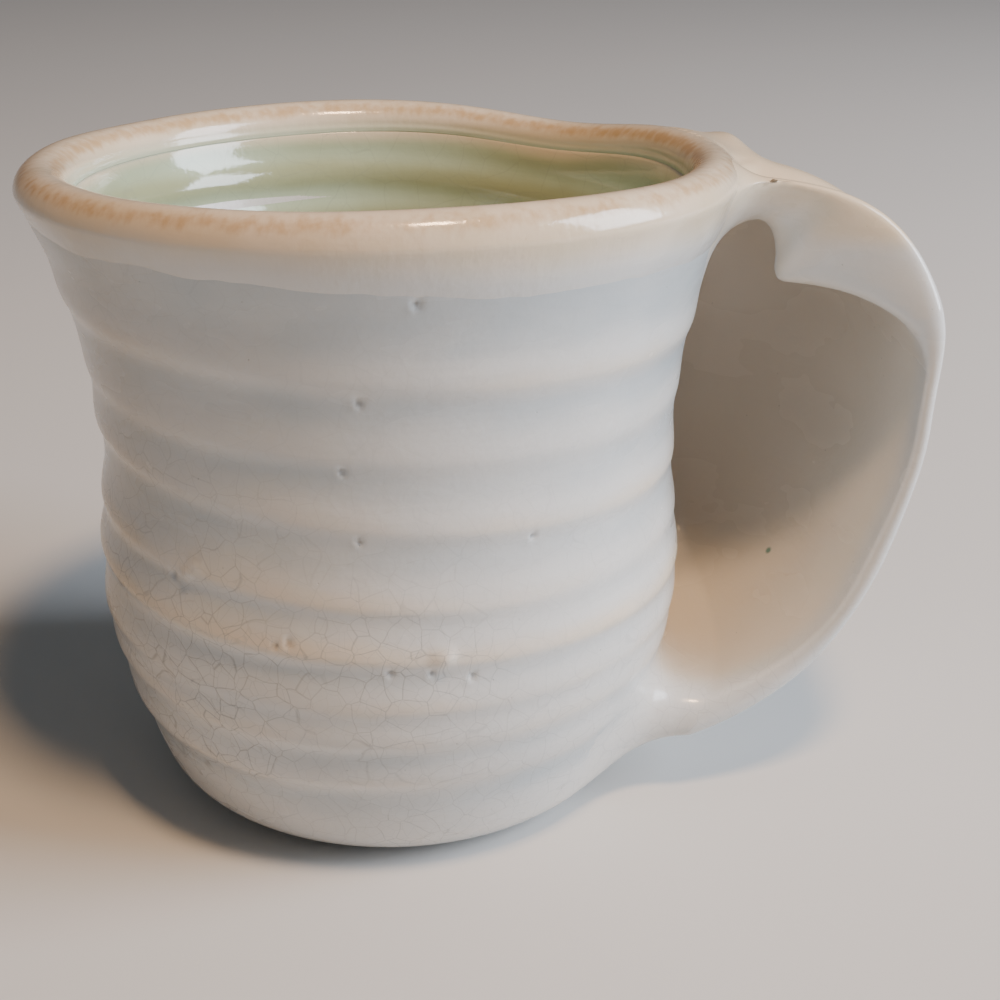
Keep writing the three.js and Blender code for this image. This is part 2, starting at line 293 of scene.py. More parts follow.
def around(count, focus=None, gain=0.0, width=1.0):
    """Angles round a full turn. Near the focus they stand closer together, by the gain."""
    fine = np.linspace(0, TURN, 4001)
    density = np.ones_like(fine)
    if focus is not None:
        density += gain * bell(turn_gap(fine, focus), 0, width)
    gone = np.concatenate([[0], np.cumsum((density[1:] + density[:-1]) / 2)])
    return np.interp(np.arange(count) / count, gone / gone[-1], fine)


# ---- Meshes ----

def surface(name, rings, start=None, end=None, materials=(), **attributes):
    """A closed mesh from rings of points in millimetres.

    Neighbouring rings are joined by four-sided faces. The first and last rings close on the points start
    and end, or on each other where there are none. Attributes give one number a point of the rings.
    """
    rows, columns = rings.shape[:2]
    points = rings.reshape(-1, 3)
    index = np.arange(rows * columns).reshape(rows, columns)
    lower = index if start is None else index[:-1]
    upper = np.roll(index, -1, axis=0) if start is None else index[1:]
    corners = [lower, np.roll(lower, -1, axis=1), np.roll(upper, -1, axis=1), upper]
    quads = np.stack(corners, axis=-1).reshape(-1, 4)
    faces = [quads]
    if start is not None:
        points = np.concatenate([points, [start, end]])
        first, last = rows * columns, rows * columns + 1
        ring = index[0]
        faces.append(np.stack([np.roll(ring, -1), ring, np.full(columns, first)], axis=-1))
        ring = index[-1]
        faces.append(np.stack([ring, np.roll(ring, -1), np.full(columns, last)], axis=-1))
    mesh = bpy.data.meshes.new(name)
    mesh.from_pydata((points * MM).tolist(), [], [face for block in faces for face in block.tolist()])
    mesh.polygons.foreach_set("use_smooth", np.ones(len(mesh.polygons), bool))
    for key, values in attributes.items():
        numbers = np.zeros(len(points), np.float32)
        numbers[: rows * columns] = np.broadcast_to(values, (rows, columns)).ravel()
        if start is not None:
            numbers[-2:] = numbers[0], numbers[rows * columns - 1]
        mesh.attributes.new(key, "FLOAT", "POINT").data.foreach_set("value", numbers)
    for material in materials:
        mesh.materials.append(material)
    mesh.validate()
    piece = bpy.data.objects.new(name, mesh)
    bpy.context.scene.collection.objects.link(piece)
    return piece


def stand_for(piece, slot, *nodes):
    """The piece rides on the mug's body and stands for the CAD nodes, which are hidden. The slot is not used.
    """
    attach(piece, BODY)
    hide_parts(*nodes)


# ---- The cup's form ----

def heel(cup):
    """The round bottom corner: a Bezier curve from the flat foot up into the wall."""
    return bezier(
        [
            (cup.foot_radius, 0),
            ((cup.foot_radius + 3 * cup.heel_radius) / 4, 0),
            (cup.heel_radius - 1, cup.heel_height * 0.55),
            (cup.heel_radius, cup.heel_height),
        ],
        40,
    )


def outline(cup, height):
    """Outer radius at a height: the heel's curve, a quarter sine out to the belly, half a cosine in to the
    waist, then a power curve out to the lip."""
    corner = heel(cup)
    low = np.interp(height, corner[:, 1], corner[:, 0])
    rise = np.clip((height - cup.heel_height) / (cup.belly_height - cup.heel_height), 0, 1)
    belly = cup.heel_radius + (cup.belly_radius - cup.heel_radius) * np.sin(rise * np.pi / 2)
    rise = np.clip((height - cup.belly_height) / (cup.waist_height - cup.belly_height), 0, 1)
    waist = cup.belly_radius - (cup.belly_radius - cup.waist_radius) * (1 - np.cos(rise * np.pi)) / 2
    rise = np.clip((height - cup.waist_height) / (cup.lip_height - cup.waist_height), 0, 1.2)
    flare = cup.waist_radius + (cup.rim_radius - cup.waist_radius) * rise**cup.flare_power
    choices = [height < cup.heel_height, height < cup.belly_height, height < cup.waist_height]
    return np.select(choices, [low, belly, waist], flare)


def inner_outline(cup, height):
    """Inner radius at a height: the plain wall, thickening to the lip with the sixth power of the height."""
    thickening = (cup.lip - cup.wall) * (height / cup.lip_height) ** 6
    return outline(cup, height) - cup.wall - thickening


# A throwing ring each: its height at the front, how much higher it is at the right, and its strength.
RINGS = [
    (72.1, -2.9, 0.6),
    (62.2, -2.9, 0.5),
    (53.3, -3.0, 0.8),
    (43.3, -2.4, 0.8),
    (36.5, -1.8, 1.1),
    (28.9, -0.2, 0.75),
    (23.7, -0.1, 0.6),
    (17.1, 1.15, 0.6),
]


# The usual value of throwing_rings(), which is taken off so that the rings leave the wall's size alone.
RING_LEVEL = 0.45


def throwing_rings(angle, height):
    """Ridges left by the fingers, between 0 and about 1. Each is a hump round the cup, gentle above and
    steep below, tilted by a cosine of the angle, whose strength wanders."""
    total = 0
    for number, (level, tilt, strength) in enumerate(RINGS):
        away = height - level - tilt * np.cos(angle) - 0.5 * waves(angle, height, 40 + number)
        hump = np.where(away > 0, bell(away, 0, 3.4), bell(away, 0, 1.7))
        total = total + hump * strength * (1 + 0.3 * waves(angle, height, number))
    return total


# A pinhole each: height, angle in degrees, and radius.
PINHOLES = [
    (81.2, -85.5, 0.5),
    (69.7, -94.7, 0.5),
    (60.9, -98.2, 0.45),
    (51.9, -95.9, 0.4),
    (50.2, -64.3, 0.4),
    (38.2, -108.8, 0.5),
    (37.6, -111.2, 0.38),
    (34.6, -91.1, 0.45),
    (33.1, -76.7, 0.4),
    (43.0, -134.0, 0.5),
    (34.4, -84.0, 0.35),
]

# A lump each: height, angle in degrees, and radius.
LUMPS = [(45.7, -128.0, 1.1), (44.0, -130.0, 0.7), (36.2, -82.5, 1.2), (36.6, -81.0, 0.9)]


def spots(cup, angle, height, places):
    """Round humps of height 1 at the places, on the unrolled wall."""
    radius = outline(cup, height)
    total = 0
    for level, degrees, size in places:
        across = turn_gap(angle, radians(degrees)) * radius
        total = total + np.exp(-(across**2 + (height - level) ** 2) / size**2)
    return total


def relief(cup, angle, height):
    """How far the thrown wall stands out of its plain outline: rings, a slow wobble, pinholes that go in
    with a raised edge, and lumps."""
    fade = ease(height, 8, 14) * (1 - ease(height, 78, 84))
    side = 0.72 + 0.28 * np.cos(angle - radians(-125))
    rings = cup.ring_height * side * fade * (throwing_rings(angle, height) - RING_LEVEL)
    wobble = 0.25 * ease(height, 7, 25) * (1 - ease(height, 70, 84)) * waves(angle, height, 9)
    dents = -0.5 * spots(cup, angle, height, PINHOLES)
    edges = 0.16 * spots(cup, angle + 0.013, height + 0.5, PINHOLES)
    return rings + wobble + dents + edges + 0.38 * spots(cup, angle, height, LUMPS)


def set_out_of_true(cup, points):
    """Leans upright points as the drying rim did. The move grows with the fourth power of height: a shift,
    a tilt about X, a sag where the pocket's back joins, and slow waves in the rim's height."""
    x, y, z = np.moveaxis(points, -1, 0)
    share = (np.clip(z, 0, None) / cup.lip_height) ** 4
    angle = np.arctan2(y, x)
    radius = np.hypot(x, y)
    sag = cup.rim_sag * bell(turn_gap(angle, radians(50)), 0, radians(22)) * (1 - ease(radius, 47, 57))
    ripple = 0.22 * waves(angle, 0, 77) * (1 - ease(radius, 48, 58)) * ease(radius, 5, 30)
    drop = cup.rim_dip * y / cup.lip_radius + sag + ripple
    return np.stack([x + cup.rim_shift_x * share, y + cup.rim_shift_y * share, z - share * drop], axis=-1)


def revolve(cup, angles, radius, height):
    """Points at the radii and heights, rows down and angles across, leaned as the rim is."""
    angle = np.broadcast_to(angles, radius.shape)
    return set_out_of_true(cup, np.stack([radius * np.cos(angle), radius * np.sin(angle), height], axis=-1))


def lip_arc(cup, low, high, inset):
    """The lip's round, a point about every 4 degrees. The angle is 0 outwards and 180 inwards."""
    steps = int(abs(high - low) / 4)
    angle = np.radians(np.linspace(low, high, steps + 1))
    bead = cup.bead - inset
    radius = cup.lip_radius + bead * np.cos(angle)
    return np.stack([radius, cup.lip_height + bead * np.sin(angle)], axis=1)


def band_foot(angle):
    """Height to which the second dip reaches down outside: a tilted, slightly ragged line."""
    ragged = 0.35 * waves(5 * angle, 0, 21) + 0.15 * waves(17 * angle, 0, 22)
    return 82.1 - 2.3 * np.cos(angle) + ragged


# ---- Materials ----

def add(tree, kind, settings=None, inputs=None):
    """Adds a node, sets its attributes, and gives each input a value or a link."""
    node = tree.nodes.new(kind)
    for name, value in (settings or {}).items():
        setattr(node, name, value)
    for socket, value in (inputs or {}).items():
        if isinstance(value, bpy.types.NodeSocket):
            tree.links.new(value, node.inputs[socket])
        else:
            node.inputs[socket].default_value = value
    return node


def start_material(name):
    """A new material with an empty tree, and its Object coordinates."""
    material = bpy.data.materials.new(name)
    material.use_nodes = True
    tree = material.node_tree
    tree.nodes.clear()
    return material, tree, add(tree, "ShaderNodeTexCoord").outputs["Object"]


def per_mm(size, *stretch):
    """A Mapping scale that makes features size millimetres across, longer along each axis by the stretch."""
    return [1 / (size * MM * s) for s in (stretch or (1, 1, 1))]


def crackle(tree, place, cell, line):
    """Lines of a crackle: 1 on a line and 0 off it. Cells of a size and lines of a width in millimetres,
    bent by noise as a cooling glaze tears along a crooked way."""
    scale = per_mm(6.0)
    coarse = add(tree, "ShaderNodeMapping", {}, {"Vector": place, "Scale": scale}).outputs[0]
    bend = add(tree, "ShaderNodeTexNoise", {}, {"Vector": coarse, "Scale": 1.0, "Detail": 1.0})
    shift = add(tree, "ShaderNodeVectorMath", {"operation": "SCALE"}, {0: bend.outputs["Color"], 3: 2.4 * MM})
    bent = add(tree, "ShaderNodeVectorMath", {"operation": "ADD"}, {0: place, 1: shift.outputs[0]})
    cut = {"Vector": bent.outputs[0], "Scale": 1 / (cell * MM)}
    cells = add(tree, "ShaderNodeTexVoronoi", {"feature": "DISTANCE_TO_EDGE"}, cut)
    reach = {"Value": cells.outputs["Distance"], 1: 0.0, 2: line / cell, 3: 1.0, 4: 0.0}
    return add(tree, "ShaderNodeMapRange", {"interpolation_type": "SMOOTHSTEP"}, reach).outputs[0]


def specks(tree, place, spacing, size, share):
    """Round specks: 1 in the middle of one and 0 outside. Only a share of the cells, spacing millimetres
    apart, hold one, size millimetres across."""
    cells = {"Vector": place, "Scale": 1 / (spacing * MM)}
    dots = add(tree, "ShaderNodeTexVoronoi", {"feature": "F1"}, cells)
    reach = {"Value": dots.outputs["Distance"], 1: 0.0, 2: size / spacing / 2, 3: 1.0, 4: 0.0}
    dot = add(tree, "ShaderNodeMapRange", {"interpolation_type": "SMOOTHSTEP"}, reach).outputs[0]
    draw = add(tree, "ShaderNodeSeparateColor", {}, {0: dots.outputs["Color"]}).outputs[0]
    chosen = add(tree, "ShaderNodeMath", {"operation": "LESS_THAN"}, {0: draw, 1: share}).outputs[0]
    return add(tree, "ShaderNodeMath", {"operation": "MULTIPLY"}, {0: dot, 1: chosen}).outputs[0]


def orange_peel(tree, place, height):
    """The glaze's own soft unevenness in height, in millimetres: noise of two sizes, and the fine level
    lines that turning left, which are long round the cup and 1.7 mm apart."""
    total = 0.0
    grains = [(2.6, (1, 1, 1), height), (0.9, (1, 1, 1), height * 0.4), (1.7, (8, 8, 1), height * 1.1)]
    for size, stretch, tall in grains:
        scale = per_mm(size, *stretch)
        at = add(tree, "ShaderNodeMapping", {}, {"Vector": place, "Scale": scale}).outputs[0]
        grain = add(tree, "ShaderNodeTexNoise", {}, {"Vector": at, "Scale": 1.0, "Detail": 2.0}).outputs[0]
        terms = {0: grain, 1: tall, 2: total}
        total = add(tree, "ShaderNodeMath", {"operation": "MULTIPLY_ADD"}, terms).outputs[0]
    return total


def finish_material(material, tree, base, rough, height, **constants):
    """The shader: its colour, roughness and the bump of a height in millimetres. The other values are the
    same all over and are set on its sockets."""
    bump = add(tree, "ShaderNodeBump", {}, {"Height": height, "Strength": 1.0, "Distance": MM})
    shader = add(tree, "ShaderNodeBsdfPrincipled", {}, {"Base Color": base, "Roughness": rough})
    tree.links.new(bump.outputs[0], shader.inputs["Normal"])
    for name, value in constants.items():
        shader.inputs[name.replace("_", " ")].default_value = value
    add(tree, "ShaderNodeOutputMaterial", {}, {"Surface": shader.outputs[0]})
    return material


# Where the stray drop of green glaze lies, low inside the pocket.
STRAY_DROP = (57.0 * MM, 6.9 * MM, 26.4 * MM)


def white_crackle_glaze(colours):
    """Glossy white crackle glaze, dipped over stoneware. It is cool where it pooled in the grooves, which is
    partly painted shade, warm where it broke over the ridges, which is partly painted warm light, warm-tinted
    in the pocket's hollow as painted warm bounce light, cracked most where it is thick near the foot, and
    peppered with pinholes."""
    material, tree, place = start_material("white_crackle_glaze_dipped")
    ridge = add(tree, "ShaderNodeAttribute", {"attribute_name": "relief"}).outputs["Fac"]
    cream = add(tree, "ShaderNodeAttribute", {"attribute_name": "cream"}).outputs["Fac"]
    hollow = add(tree, "ShaderNodeAttribute", {"attribute_name": "hollow"}).outputs["Fac"]

    # Thickness of the coat: thin on ridges, and clouded by how the glaze ran. The warm colour on the ridges
    # is partly painted warm light, and the cool grey-blue in the grooves is partly painted shade.
    cloud_at = add(tree, "ShaderNodeMapping", {}, {"Vector": place, "Scale": per_mm(9, 2.2, 2.2, 1)})
    clouds = {"Vector": cloud_at.outputs[0], "Scale": 1.0, "Detail": 3.0}
    cloud = add(tree, "ShaderNodeTexNoise", {}, clouds).outputs[0]
    thin = add(tree, "ShaderNodeMath", {"operation": "MULTIPLY_ADD"}, {0: cloud, 1: 0.9, 2: -0.45})
    thin = add(tree, "ShaderNodeMath", {"operation": "ADD"}, {0: thin.outputs[0], 1: ridge}).outputs[0]
    warm = add(tree, "ShaderNodeMapRange", {"interpolation_type": "SMOOTHSTEP"}, {0: thin, 1: 0.0, 2: 0.85})
    cool = add(tree, "ShaderNodeMapRange", {"interpolation_type": "SMOOTHSTEP"}, {0: thin, 1: -0.9, 2: 0.1})
    sides = {0: cool.outputs[0], 6: colours.pooled, 7: colours.white}
    base = add(tree, "ShaderNodeMix", {"data_type": "RGBA"}, sides).outputs[2]
    sides = {0: warm.outputs[0], 6: base, 7: colours.broken}
    base = add(tree, "ShaderNodeMix", {"data_type": "RGBA"}, sides).outputs[2]
    # Painted warm bounce light: a warm tint over the pocket's shaded hollow.
    base = add(tree, "ShaderNodeMix", {"data_type": "RGBA"}, {0: hollow, 6: base, 7: colours.hollow})
    sides = {0: cream, 6: base.outputs[2], 7: colours.cream}
    base = add(tree, "ShaderNodeMix", {"data_type": "RGBA"}, sides).outputs[2]

    # Crackle, in two sizes of cell, fading in patches, towards the lip and the right, and inside the
    # pocket. A real glaze's finest lines are too fine to show, so the narrow ones are drawn coarser.
    patch_at = add(tree, "ShaderNodeMapping", {}, {"Vector": place, "Scale": per_mm(22)}).outputs[0]
    patch = add(tree, "ShaderNodeTexNoise", {}, {"Vector": patch_at, "Scale": 1.0, "Detail": 1.0}).outputs[0]
    patch = add(tree, "ShaderNodeMapRange", {}, {0: patch, 1: 0.35, 2: 0.65, 3: 0.35, 4: 1.0}).outputs[0]
    parts = add(tree, "ShaderNodeSeparateXYZ", {}, {0: place}).outputs
    low = {0: parts[2], 1: 66 * MM, 2: 36 * MM, 3: 0.2, 4: 1.0}
    low = add(tree, "ShaderNodeMapRange", {}, low).outputs[0]
    left = {0: parts[0], 1: 30 * MM, 2: -20 * MM, 3: 0.3, 4: 1.0}
    left = add(tree, "ShaderNodeMapRange", {}, left).outputs[0]
    outside = add(tree, "ShaderNodeMath", {"operation": "SUBTRACT"}, {0: 1.0, 1: hollow}).outputs[0]
    wide = crackle(tree, place, 3.4, 0.11)
    narrow = crackle(tree, place, 1.9, 0.08)
    both = {0: narrow, 1: 0.5, 2: wide}
    lines = add(tree, "ShaderNodeMath", {"operation": "MULTIPLY_ADD"}, both).outputs[0]
    for share in (patch, low, left, outside):
        lines = add(tree, "ShaderNodeMath", {"operation": "MULTIPLY"}, {0: lines, 1: share}).outputs[0]
    ink = add(tree, "ShaderNodeMath", {"operation": "MULTIPLY", "use_clamp": True}, {0: lines, 1: 0.55})
    sides = {0: ink.outputs[0], 6: base, 7: colours.crackle}
    base = add(tree, "ShaderNodeMix", {"data_type": "RGBA"}, sides).outputs[2]

    # Pinholes and iron specks, and one stray drop of the green glaze inside the pocket.
    holes = specks(tree, place, 2.4, 0.36, 0.3)
    iron = specks(tree, place, 7.5, 0.5, 0.16)
    dark = add(tree, "ShaderNodeMath", {"operation": "MAXIMUM"}, {0: holes, 1: iron}).outputs[0]
    pit = add(tree, "ShaderNodeAttribute", {"attribute_name": "pit"}).outputs["Fac"]
    dark = add(tree, "ShaderNodeMath", {"operation": "MULTIPLY_ADD"}, {0: dark, 1: 0.4, 2: pit}).outputs[0]
    base = add(tree, "ShaderNodeMix", {"data_type": "RGBA"}, {0: dark, 6: base, 7: colours.crackle})
    away = add(tree, "ShaderNodeVectorMath", {"operation": "DISTANCE"}, {0: place, 1: STRAY_DROP})
    drop = {0: away.outputs["Value"], 1: 0.3 * MM, 2: 0.7 * MM, 3: 0.8, 4: 0.0}
    drop = add(tree, "ShaderNodeMapRange", {}, drop).outputs[0]
    sides = {0: drop, 6: base.outputs[2], 7: colours.drop}
    base = add(tree, "ShaderNodeMix", {"data_type": "RGBA"}, sides)

    height = orange_peel(tree, place, 0.05)
    height = add(tree, "ShaderNodeMath", {"operation": "MULTIPLY_ADD"}, {0: holes, 1: -0.05, 2: height})
    grooved = {0: lines, 1: -0.008, 2: height.outputs[0]}
    height = add(tree, "ShaderNodeMath", {"operation": "MULTIPLY_ADD"}, grooved)
    rough = add(tree, "ShaderNodeMapRange", {}, {0: cloud, 1: 0.3, 2: 0.7, 3: 0.2, 4: 0.32})
    return finish_material(
        material, tree, base.outputs[2], rough.outputs[0], height.outputs[0], IOR=1.5, Coat_Weight=0.3,
        Coat_Roughness=0.06,
    )


def celadon_liner_glaze(colours):
    """Glossy celadon glaze, poured in and out. It is pale where it is thin and olive where it ran thick in
    the turned grooves and towards the floor."""
    material, tree, place = start_material("celadon_liner_glaze_poured")
    thick = add(tree, "ShaderNodeAttribute", {"attribute_name": "thick"}).outputs["Fac"]
    cream = add(tree, "ShaderNodeAttribute", {"attribute_name": "cream"}).outputs["Fac"]
    cloud_at = add(tree, "ShaderNodeMapping", {}, {"Vector": place, "Scale": per_mm(12, 1.6, 1.6, 1)})
    clouds = {"Vector": cloud_at.outputs[0], "Scale": 1.0, "Detail": 4.0}
    cloud = add(tree, "ShaderNodeTexNoise", {}, clouds).outputs[0]
    depth = add(tree, "ShaderNodeMath", {"operation": "MULTIPLY_ADD"}, {0: cloud, 1: 1.1, 2: -0.5}).outputs[0]
    depth = add(tree, "ShaderNodeMath", {"operation": "ADD"}, {0: depth, 1: thick}).outputs[0]
    share = add(tree, "ShaderNodeMapRange", {"interpolation_type": "SMOOTHSTEP"}, {0: depth, 1: 0.0, 2: 1.0})
    sides = {0: share.outputs[0], 6: colours.celadon, 7: colours.olive}
    base = add(tree, "ShaderNodeMix", {"data_type": "RGBA"}, sides).outputs[2]
    base = add(tree, "ShaderNodeMix", {"data_type": "RGBA"}, {0: cream, 6: base, 7: colours.cream})
    lines = crackle(tree, place, 5.5, 0.12)
    ink = add(tree, "ShaderNodeMath", {"operation": "MULTIPLY"}, {0: lines, 1: 0.14}).outputs[0]
    sides = {0: ink, 6: base.outputs[2], 7: colours.crackle}
    base = add(tree, "ShaderNodeMix", {"data_type": "RGBA"}, sides).outputs[2]
    height = orange_peel(tree, place, 0.06)
    rough = add(tree, "ShaderNodeMapRange", {}, {0: cloud, 1: 0.3, 2: 0.7, 3: 0.1, 4: 0.16}).outputs[0]
    return finish_material(
        material, tree, base, rough, height, IOR=1.52, Coat_Weight=0.5, Coat_Roughness=0.04
    )


def cream_rim_glaze(colours):
    """Glossy cream glaze, where the rim was dipped a second time. It runs down in fine streaks, and it
    is so thin at the lip's edges that the tan clay shows."""
    material, tree, place = start_material("cream_rim_glaze_second_dip")
    thin = add(tree, "ShaderNodeAttribute", {"attribute_name": "thin"}).outputs["Fac"]
    green = add(tree, "ShaderNodeAttribute", {"attribute_name": "green"}).outputs["Fac"]
    fade = add(tree, "ShaderNodeAttribute", {"attribute_name": "fade"}).outputs["Fac"]
    streak_at = add(tree, "ShaderNodeMapping", {}, {"Vector": place, "Scale": per_mm(1.5, 1, 1, 4)})
    streaks = {"Vector": streak_at.outputs[0], "Scale": 1.0, "Detail": 3.0}
    streak = add(tree, "ShaderNodeTexNoise", {}, streaks).outputs[0]
    patch_at = add(tree, "ShaderNodeMapping", {}, {"Vector": place, "Scale": per_mm(11)}).outputs[0]
    patch = add(tree, "ShaderNodeTexNoise", {}, {"Vector": patch_at, "Scale": 1.0, "Detail": 2.0}).outputs[0]
    tone = {0: patch, 1: 0.35, 2: 0.65}
    pale = add(tree, "ShaderNodeMapRange", {}, tone).outputs[0]
    sides = {0: pale, 6: colours.cream, 7: colours.broken}
    base = add(tree, "ShaderNodeMix", {"data_type": "RGBA"}, sides).outputs[2]
    uneven = {0: streak, 1: 1.5, 2: -0.75}
    worn = add(tree, "ShaderNodeMath", {"operation": "MULTIPLY_ADD"}, uneven).outputs[0]
    worn = add(tree, "ShaderNodeMath", {"operation": "ADD"}, {0: worn, 1: thin}).outputs[0]
    worn = add(tree, "ShaderNodeMapRange", {"interpolation_type": "SMOOTHSTEP"}, {0: worn, 1: 0.2, 2: 1.1})
    worn = add(tree, "ShaderNodeMath", {"operation": "MULTIPLY"}, {0: worn.outputs[0], 1: 0.75}).outputs[0]
    base = add(tree, "ShaderNodeMix", {"data_type": "RGBA"}, {0: worn, 6: base, 7: colours.tan})
    sides = {0: green, 6: base.outputs[2], 7: colours.celadon}
    base = add(tree, "ShaderNodeMix", {"data_type": "RGBA"}, sides).outputs[2]
    base = add(tree, "ShaderNodeMix", {"data_type": "RGBA"}, {0: fade, 6: base, 7: colours.white}).outputs[2]
    iron = specks(tree, place, 5.0, 0.5, 0.25)
    dark = add(tree, "ShaderNodeMath", {"operation": "MULTIPLY"}, {0: iron, 1: 0.4}).outputs[0]
    base = add(tree, "ShaderNodeMix", {"data_type": "RGBA"}, {0: dark, 6: base, 7: colours.tan})
    height = orange_peel(tree, place, 0.06)
    height = add(tree, "ShaderNodeMath", {"operation": "MULTIPLY_ADD"}, {0: streak, 1: 0.05, 2: height})
    rough = add(tree, "ShaderNodeMapRange", {}, {0: patch, 1: 0.3, 2: 0.7, 3: 0.14, 4: 0.22}).outputs[0]
    return finish_material(
        material, tree, base.outputs[2], rough, height.outputs[0], IOR=1.5, Coat_Weight=0.4,
        Coat_Roughness=0.05,
    )


def bare_stoneware(colours):
    """Bare fired stoneware, cut off the wheel with a wire. It is matt, sandy and speckled with iron."""
    material, tree, place = start_material("bare_stoneware_wire_cut")
    grain_at = add(tree, "ShaderNodeMapping", {}, {"Vector": place, "Scale": per_mm(0.7)}).outputs[0]
    grain = add(tree, "ShaderNodeTexNoise", {}, {"Vector": grain_at, "Scale": 1.0, "Detail": 4.0}).outputs[0]
    tone = add(tree, "ShaderNodeMapRange", {}, {0: grain, 1: 0.3, 2: 0.7, 3: 0.0, 4: 0.5}).outputs[0]
    sides = {0: tone, 6: colours.clay, 7: colours.tan}
    base = add(tree, "ShaderNodeMix", {"data_type": "RGBA"}, sides).outputs[2]
    iron = specks(tree, place, 2.2, 0.7, 0.25)
    base = add(tree, "ShaderNodeMix", {"data_type": "RGBA"}, {0: iron, 6: base, 7: colours.iron})
    height = add(tree, "ShaderNodeMath", {"operation": "MULTIPLY"}, {0: grain, 1: 0.12}).outputs[0]
    rough = add(tree, "ShaderNodeMapRange", {}, {0: grain, 1: 0.3, 2: 0.7, 3: 0.8, 4: 0.95}).outputs[0]
    return finish_material(material, tree, base.outputs[2], rough, height, IOR=1.45)


def pale_floor(colours):
    """A matt painted studio floor, barely mottled."""
    material, tree, place = start_material("pale_floor_painted")
    at = add(tree, "ShaderNodeMapping", {}, {"Vector": place, "Scale": per_mm(60)}).outputs[0]
    mottle = add(tree, "ShaderNodeTexNoise", {}, {"Vector": at, "Scale": 1.0, "Detail": 3.0}).outputs[0]
    rough = add(tree, "ShaderNodeMapRange", {}, {0: mottle, 3: 0.75, 4: 0.9}).outputs[0]
    height = add(tree, "ShaderNodeMath", {"operation": "MULTIPLY"}, {0: mottle, 1: 0.05}).outputs[0]
    return finish_material(material, tree, colours.floor, rough, height, IOR=1.4)


# The materials made so far, each under its function's name.
MADE = {}


def shared(make, colours):
    """The material that a function makes, made once."""
    key = make.__name__
    if key not in MADE:
        MADE[key] = make(colours)
    return MADE[key]


# ---- The pieces ----

# How many columns of faces go round each piece.
CUP_COLUMNS = 384
LINER_COLUMNS = 400
RIM_COLUMNS = 480
POCKET_COLUMNS = 440

# The side of the cup with the pinholes, where its columns stand closer together.
FRONT = radians(-95)

# How far below the lip the liner and the rim's coat end inside, in millimetres.
LINER_EDGE = 4.2
RIM_EDGE = 4.6

# The liner is this thick. The clay begins a little nearer its face, so that the two overlap.
LINER_COAT = 0.45
CLAY_BEHIND = 0.3

# How far the rim's coat stands out over the lip, and how far under its skin its hidden side lies.
RIM_PROUD = 0.25
RIM_COAT = 0.9


def make_cup(cup, colours):
    """The thrown clay form under its white glaze. Rows run from the foot's centre out, up the wall, over
    the lip under the rim's coat, down inside behind the liner and in to the floor's centre. The radius of
    the outer wall is the outline plus the relief."""
    angles = around(CUP_COLUMNS, FRONT, gain=2.0, width=radians(60))
    sole_rows = 12
    sole = np.stack([np.linspace(2, cup.foot_radius, sole_rows), np.zeros(sole_rows)], axis=1)
    under_coat = cup.height - 5.4
    level = np.arange(cup.heel_height, under_coat, 0.47)
    wall = np.stack([outline(cup, level), level], axis=1)
    outside = np.concatenate([sole, spread(heel(cup), 0.9)[1:], wall[1:]])
    over = lip_arc(cup, -10, 180, 0.45)[::3]
    down = np.linspace(cup.lip_height - 2, cup.floor + cup.floor_corner, 12)
    inside = np.stack([inner_outline(cup, down) + CLAY_BEHIND, down], axis=1)
    base = floor_sweep(cup, CLAY_BEHIND)[::-1][1:]
    profile = np.concatenate([outside, over, inside, base])
    radius = np.repeat(profile[:, :1], len(angles), axis=1)
    height = np.repeat(profile[:, 1:], len(angles), axis=1)
    out = len(outside)
    form = relief(cup, angles, height[:out])
    under = ease(height[:out] - band_foot(angles), 1.0, 2.2)
    radius[:out] += form * ease(height[:out], 4, 9) - 0.5 * under
    inward = radius[:sole_rows]
    marks = 0.18 * wire_marks(inward, angles)
    height[:sole_rows] += marks * ease(inward, cup.foot_radius - 1.5, cup.foot_radius - 3)
    tint = np.zeros_like(radius)
    # The rings' tint for the glaze: partly real pooling and breaking, partly painted shade in the grooves and
    # painted warm light on the ridges.
    tint[:out] = (throwing_rings(angles, height[:out]) - RING_LEVEL) * ease(height[:out], 8, 14)
    pit = np.zeros_like(radius)
    pit[:out] = 0.6 * np.clip(spots(cup, angles, height[:out], PINHOLES), 0, 1) ** 3
    rings = revolve(cup, angles, radius, height)
    ends = [(0, 0, 0), (0, 0, cup.floor - CLAY_BEHIND)]
    materials = [shared(white_crackle_glaze, colours), shared(bare_stoneware, colours)]
    piece = surface("Cup", rings, *ends, materials, relief=tint, pit=pit)
    centre = np.zeros(len(piece.data.polygons) * 3, np.float32)
    piece.data.polygons.foreach_get("center", centre)
    centre = centre.reshape(-1, 3) / MM
    # The glaze was wiped off this far round the foot and up from it.
    wiped_out, wiped_up = 3.2, 1.5
    bare = (centre[:, 2] < wiped_up) & (np.hypot(centre[:, 0], centre[:, 1]) < cup.foot_radius + wiped_out)
    piece.data.polygons.foreach_set("material_index", bare.astype(np.int32))
    return piece


def wire_marks(radius, angle):
    """Ripples that a cutting wire drags across the foot: arcs about a point beside it, 2.6 mm apart."""
    spacing = 2.6
    away = np.hypot(radius * np.cos(angle) + 60, radius * np.sin(angle) - 25)
    return 0.5 + 0.5 * np.sin(away * TURN / spacing + waves(angle, radius, 5))


def floor_sweep(cup, grow):
    """The curve from the flat floor up into the wall, moved outwards by grow: a cubic Bezier."""
    top = cup.floor + cup.floor_corner
    inner = float(inner_outline(cup, np.array(top)))
    return bezier(
        [
            (cup.foot_radius - 8, cup.floor - grow),
            (cup.heel_radius - cup.wall - 2, cup.floor - grow),
            (inner - 2 + grow, cup.floor + cup.floor_corner * 0.45 - grow),
            (inner + grow, top),
        ],
        24,
    )


